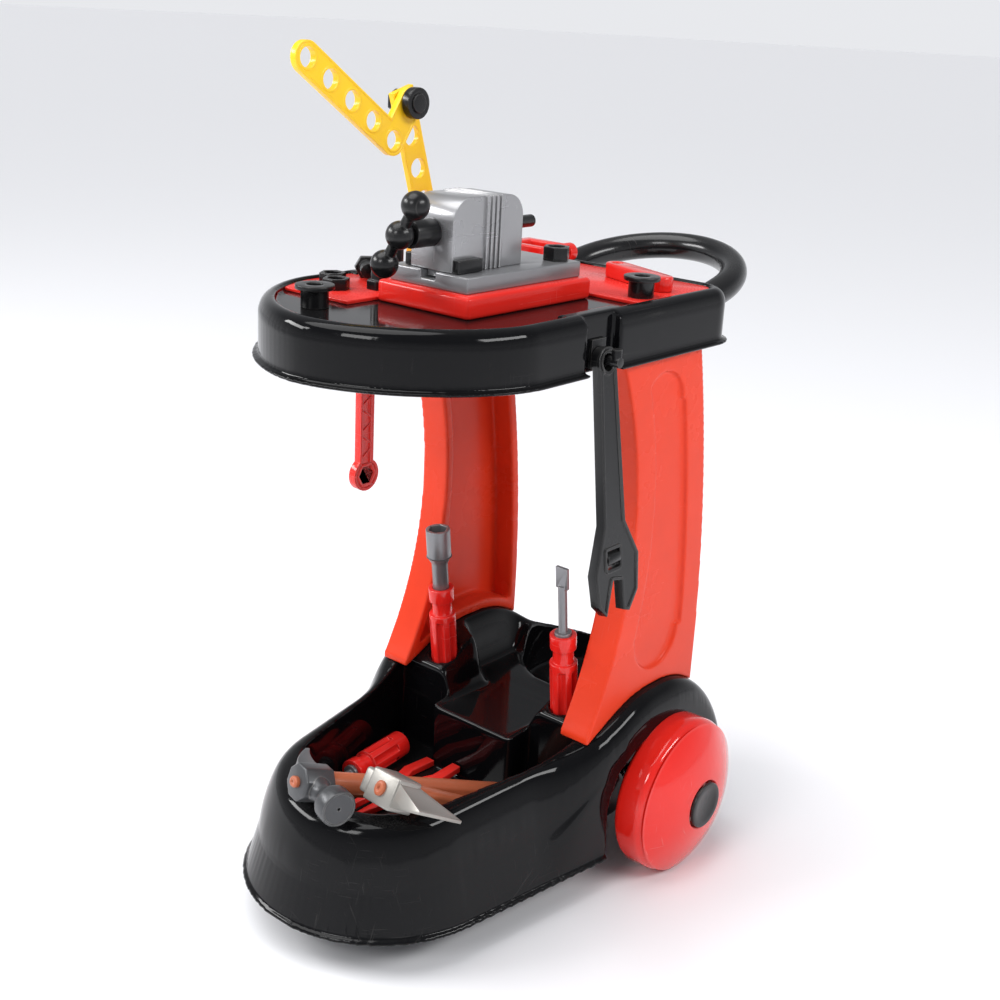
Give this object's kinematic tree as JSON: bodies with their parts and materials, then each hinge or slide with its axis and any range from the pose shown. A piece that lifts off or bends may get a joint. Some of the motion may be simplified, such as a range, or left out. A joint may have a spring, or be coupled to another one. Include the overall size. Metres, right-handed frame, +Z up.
{
  "type": "toy tool bench",
  "caption": "Wheeled toy work bench: black basin base, curved red uprights, tray with vise and yellow strip crane, hanging wrenches, drivers in sockets and loose hand tools.",
  "frame": {"origin": "on the floor, under the middle of the bench's overall box", "axes": "+X across the bench, -Y towards the basin end, +Y towards the push handle, +Z up"},
  "size_m": [0.2992, 0.434, 0.5687],
  "materials": {
    "black_shell": "high gloss moulded shell",
    "black_plastic": "semi-gloss moulded plastic",
    "rubber_foot": "matt",
    "red_panel": "satin blow-moulded panel",
    "red_plastic": "gloss",
    "red_grip": "gloss",
    "steel": "zinc plated",
    "grey_vise": "silver grey, metallic look",
    "yellow_plastic": "satin",
    "grey_plastic": "silver grey, metallic look",
    "dark_head": "dark grey",
    "silver_head": "warm silver grey",
    "wood_tone": "wood coloured moulding"
  },
  "bodies": {
    "bench": {"base_shell": "black_shell", "front_feet": "rubber_foot", "upright_left": "red_panel", "upright_right": "red_panel", "upright_screws": "steel", "tray_shell": "black_shell", "tray_screws": "steel", "table_insert": "red_plastic", "push_handle": "black_plastic", "axle": "steel", "axle_clips": "steel", "hook_left": "black_plastic", "hook_right": "black_plastic", "vise_plinth": "red_plastic", "vise_bed": "grey_vise", "vise_fixed_jaw": "grey_vise", "crane_bracket": "yellow_plastic", "crane_bolt_lower": "black_plastic", "crane_nut_lower": "black_plastic"},
    "wheel_l": {"wheel_left": "red_plastic", "hub_cap_left": "black_plastic"},
    "wheel_r": {"wheel_right": "red_plastic", "hub_cap_right": "black_plastic"},
    "vise_jaw": {"vise_moving_jaw": "grey_vise", "vise_stop_block": "black_plastic"},
    "vise_spindle": {"vise_screw": "black_plastic", "vise_t_bar": "black_plastic"},
    "crane_lower": {"crane_strip": "yellow_plastic", "crane_bolt_upper": "black_plastic", "crane_nut_upper": "black_plastic"},
    "crane_upper": {"crane_elbow": "yellow_plastic"},
    "red_wrench": {"ring_wrench": "red_plastic"},
    "black_wrench": {"adjustable_wrench": "black_plastic", "wrench_worm": "black_plastic"},
    "nut_driver": {"nut_driver_grip": "red_grip", "nut_driver_shaft": "grey_plastic"},
    "screwdriver": {"screwdriver_grip": "red_grip", "screwdriver_blade": "grey_plastic"},
    "hammer": {"hammer_head": "dark_head", "hammer_haft": "wood_tone"},
    "hatchet": {"hatchet_head": "silver_head", "hatchet_haft": "wood_tone"},
    "pliers": {"pliers_jaw_a": "red_plastic", "pliers_pin": "steel"},
    "pliers_half": {"pliers_jaw_b": "red_plastic"},
    "level": {"spirit_level": "black_plastic"},
    "short_driver": {"loose_driver_grip": "red_grip", "loose_driver_blade": "grey_plastic"},
    "pegs": {"flanged_pegs": "black_plastic"},
    "bolts": {"toy_bolts": "black_plastic"},
    "nuts": {"toy_nuts": "black_plastic"},
    "single_nut": {"bed_nut": "black_plastic"},
    "cap": {"red_cap": "red_plastic"},
    "clamp": {"red_clamp": "red_plastic"},
    "clamp_screw": {"clamp_knob": "red_plastic"},
    "lever": {"red_lever": "red_plastic"}
  },
  "joints": [
    {"name": "wheel_left_spin", "type": "hinge", "parent": "bench", "child": "wheel_l", "pos_m": [-0.129, 0.058, 0.058], "axis": [1, 0, 0], "continuous": true},
    {"name": "wheel_right_spin", "type": "hinge", "parent": "bench", "child": "wheel_r", "pos_m": [0.129, 0.058, 0.058], "axis": [1, 0, 0], "continuous": true},
    {"name": "vise_jaw_slide", "type": "slide", "parent": "bench", "child": "vise_jaw", "axis": [0, -1, 0], "range_m": [0, 0.018]},
    {"name": "vise_screw_turn", "type": "hinge", "parent": "vise_jaw", "child": "vise_spindle", "pos_m": [0.016, -0.11, 0.464], "axis": [0, 1, 0], "range_deg": [0, 540]},
    {"name": "crane_lean", "type": "hinge", "parent": "bench", "child": "crane_lower", "pos_m": [-0.072, -0.017, 0.446], "axis": [1, 0, 0], "range_deg": [-38, 30]},
    {"name": "crane_elbow_turn", "type": "hinge", "parent": "crane_lower", "child": "crane_upper", "pos_m": [-0.067, -0.04481, 0.5316], "axis": [1, 0, 0], "range_deg": [-50, 25]},
    {"name": "ring_wrench_swing", "type": "hinge", "parent": "bench", "child": "red_wrench", "pos_m": [-0.103, -0.044, 0.393], "axis": [1, 0, 0], "range_deg": [-28, 28]},
    {"name": "black_wrench_swing", "type": "hinge", "parent": "bench", "child": "black_wrench", "pos_m": [0.103, -0.044, 0.393], "axis": [1, 0, 0], "range_deg": [-25, 25]},
    {"name": "nut_driver_lift", "type": "slide", "parent": "bench", "child": "nut_driver", "axis": [0, -0.1219, 0.9925], "range_m": [0, 0.06]},
    {"name": "screwdriver_lift", "type": "slide", "parent": "bench", "child": "screwdriver", "axis": [0, -0.1219, 0.9925], "range_m": [0, 0.06]},
    {"name": "hammer_lift", "type": "slide", "parent": "bench", "child": "hammer", "axis": [0, 0, 1], "range_m": [0, 0.08]},
    {"name": "hatchet_lift", "type": "slide", "parent": "bench", "child": "hatchet", "axis": [0, 0, 1], "range_m": [0, 0.08]},
    {"name": "pliers_lift", "type": "slide", "parent": "bench", "child": "pliers", "axis": [0, 0, 1], "range_m": [0, 0.04]},
    {"name": "level_lift", "type": "slide", "parent": "bench", "child": "level", "axis": [0, 0, 1], "range_m": [0, 0.02]},
    {"name": "short_driver_lift", "type": "slide", "parent": "bench", "child": "short_driver", "axis": [0, 0, 1], "range_m": [0, 0.04]},
    {"name": "pegs_lift", "type": "slide", "parent": "bench", "child": "pegs", "axis": [0, 0, 1], "range_m": [0, 0.03]},
    {"name": "bolts_lift", "type": "slide", "parent": "bench", "child": "bolts", "axis": [0, 0, 1], "range_m": [0, 0.008]},
    {"name": "nuts_lift", "type": "slide", "parent": "bench", "child": "nuts", "axis": [0, 0, 1], "range_m": [0, 0.01]},
    {"name": "bed_nut_lift", "type": "slide", "parent": "bench", "child": "single_nut", "axis": [0, 0, 1], "range_m": [0, 0.03]},
    {"name": "cap_lift", "type": "slide", "parent": "bench", "child": "cap", "axis": [0, 0, 1], "range_m": [0, 0.03]},
    {"name": "clamp_lift", "type": "slide", "parent": "bench", "child": "clamp", "axis": [0, 0, 1], "range_m": [0, 0.03]},
    {"name": "lever_lift", "type": "slide", "parent": "bench", "child": "lever", "axis": [0, 0, 1], "range_m": [0, 0.03]},
    {"name": "pliers_open", "type": "hinge", "parent": "pliers", "child": "pliers_half", "pos_m": [-0.024, -0.09, 0.058], "axis": [0, 0, 1], "range_deg": [-12, 0]},
    {"name": "clamp_screw_turn", "type": "hinge", "parent": "clamp", "child": "clamp_screw", "pos_m": [-0.036, 0.08, 0.4265], "axis": [0, 1, 0], "range_deg": [-180, 180]}
  ],
  "couplings": [
    {"joint": "vise_screw_turn", "follows": "vise_jaw_slide", "rad_per_m": 523.6}
  ]
}
